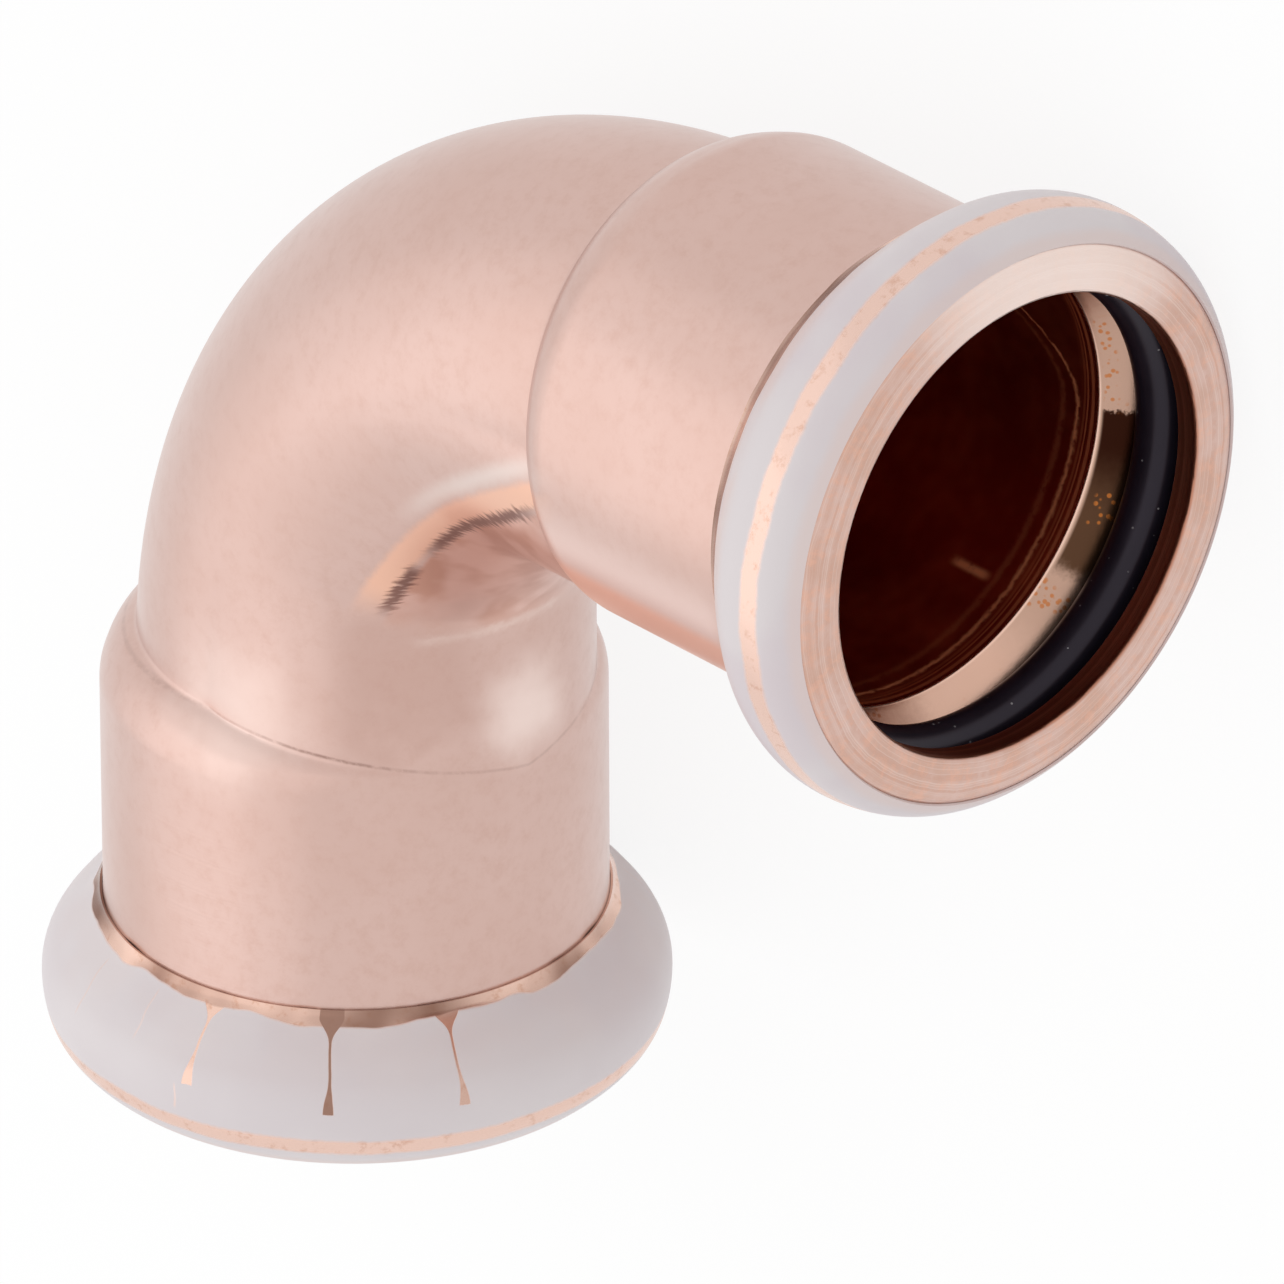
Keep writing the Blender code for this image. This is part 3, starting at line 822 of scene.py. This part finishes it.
make_sleeve("left_sleeve", "left_indicator_sleeve", LEFT_MOUTH, 1.0, left_print)
make_sleeve("front_sleeve", "front_indicator_sleeve", FRONT_MOUTH, 2.0, front_print)

# The floor is plain and pale. Seen directly, or in the copper, it is as white as the background behind it,
# and it still takes a soft shadow where the fitting touches it.
FLOOR_SIZE = 6.0
FLOOR_GLOW = 1.03
FLOOR_WHITENESS = 0.84


def seen_plainly(tree):
    """1 where something is seen by the camera, or in a shiny surface, and 0 where it only gives light."""
    seen = add_node(tree, "LightPath").outputs
    shiny = calc(tree, "MAXIMUM", seen["Is Glossy Ray"], seen["Is Transmission Ray"])
    return calc(tree, "MAXIMUM", seen["Is Camera Ray"], shiny)


bpy.ops.object.select_all(action="DESELECT")
bpy.ops.mesh.primitive_plane_add(size=FLOOR_SIZE, location=(0.0, 0.0, 0.0))
floor = bpy.context.object
floor.name = "floor"
floor_material = bpy.data.materials.new("pale_floor")
floor_material.use_nodes = True
tree = floor_material.node_tree
tree.nodes.clear()
matt = add_node(tree, "BsdfDiffuse", [("Color", (0.9, 0.9, 0.9, 1))])
glow = add_node(tree, "Emission", [("Color", (1, 1, 1, 1)), ("Strength", FLOOR_GLOW)])
share = times(tree, seen_plainly(tree), FLOOR_WHITENESS)
both = add_node(tree, "MixShader", [(0, share), (1, matt.outputs[0]), (2, glow.outputs[0])])
add_node(tree, "OutputMaterial", [("Surface", both.outputs[0])])
floor.data.materials.append(floor_material)

# The studio round the fitting is white to look at, and gives a little less light than that.
# It has no walls or corners, so nothing but the panels and the floor shows in the copper.
DIM_LIGHT = 0.78
world = bpy.data.worlds.new("studio")
bpy.context.scene.world = world
world.use_nodes = True
tree = world.node_tree
tree.nodes.clear()
dim = add_node(tree, "Background", [("Color", (1, 1, 1, 1)), ("Strength", DIM_LIGHT)])
white = add_node(tree, "Background", [("Color", (1, 1, 1, 1)), ("Strength", 1.0)])
both = add_node(tree, "MixShader", [(0, seen_plainly(tree)), (1, dim.outputs[0]), (2, white.outputs[0])])
add_node(tree, "OutputWorld", [("Surface", both.outputs[0])])

# The camera stands where the photograph was taken from, measured in the left mouth's frame, far off with a
# long lens. Two large soft lamps stand on its left, above the lying fitting.
TURN = math.radians(43.127)
RAISE = math.radians(29.436)
ROLL = math.radians(-0.225)
DISTANCE = 1402.5 * MM
SIDEWAYS = -3.516 * MM
UPWARDS = -0.088 * MM
SENSOR = 36.0
LENS_PIXELS = 23846.6
PHOTO_PIXELS = 1284.0
back = Vector((math.cos(RAISE) * math.cos(TURN), -math.cos(RAISE) * math.sin(TURN), math.sin(RAISE)))
right = Vector((math.sin(TURN), math.cos(TURN), 0.0))
up = back.cross(right)
right_rolled = right * math.cos(ROLL) + up * math.sin(ROLL)
up_rolled = up * math.cos(ROLL) - right * math.sin(ROLL)
aim = Vector((0.35 * CENTRE_TO_MOUTH, 0.0, 0.6 * CENTRE_TO_MOUTH))
view = Matrix((right_rolled, up_rolled, back)).transposed().to_4x4()
view.translation = aim + back * DISTANCE - right_rolled * SIDEWAYS - up_rolled * UPWARDS
view = LYING @ LEFT_MOUTH @ view
lens = bpy.data.cameras.new("camera")
lens.sensor_width = SENSOR
lens.lens = SENSOR * LENS_PIXELS / PHOTO_PIXELS
lens.clip_start = 0.1
lens.clip_end = 20.0
camera = bpy.data.objects.new("camera", lens)
bpy.context.scene.collection.objects.link(camera)
camera.matrix_world = view
bpy.context.scene.camera = camera
LAMP_DISTANCE = 1.2
LAMP_AIM = Vector((0.0, 0.0, 0.018))


def soft_lamp(name, direction, size, power):
    """A square lamp in a direction given in the camera's axes (right, up, back), facing the fitting."""
    data = bpy.data.lights.new(name, "AREA")
    data.shape = "SQUARE"
    data.size = size
    data.energy = power
    lamp = bpy.data.objects.new(name, data)
    bpy.context.scene.collection.objects.link(lamp)
    away = (view.to_3x3() @ Vector(direction)).normalized()
    facing = away.to_track_quat("Z", "Y").to_matrix().to_4x4()
    lamp.matrix_world = Matrix.Translation(LAMP_AIM + away * LAMP_DISTANCE) @ facing


soft_lamp("near_panel", (-0.957, -0.208, 0.203), 1.2, 1.0)
soft_lamp("wide_panel", (-0.918, -0.139, 0.371), 2.8, 4.4)

bpy.context.scene.view_settings.view_transform = "Standard"
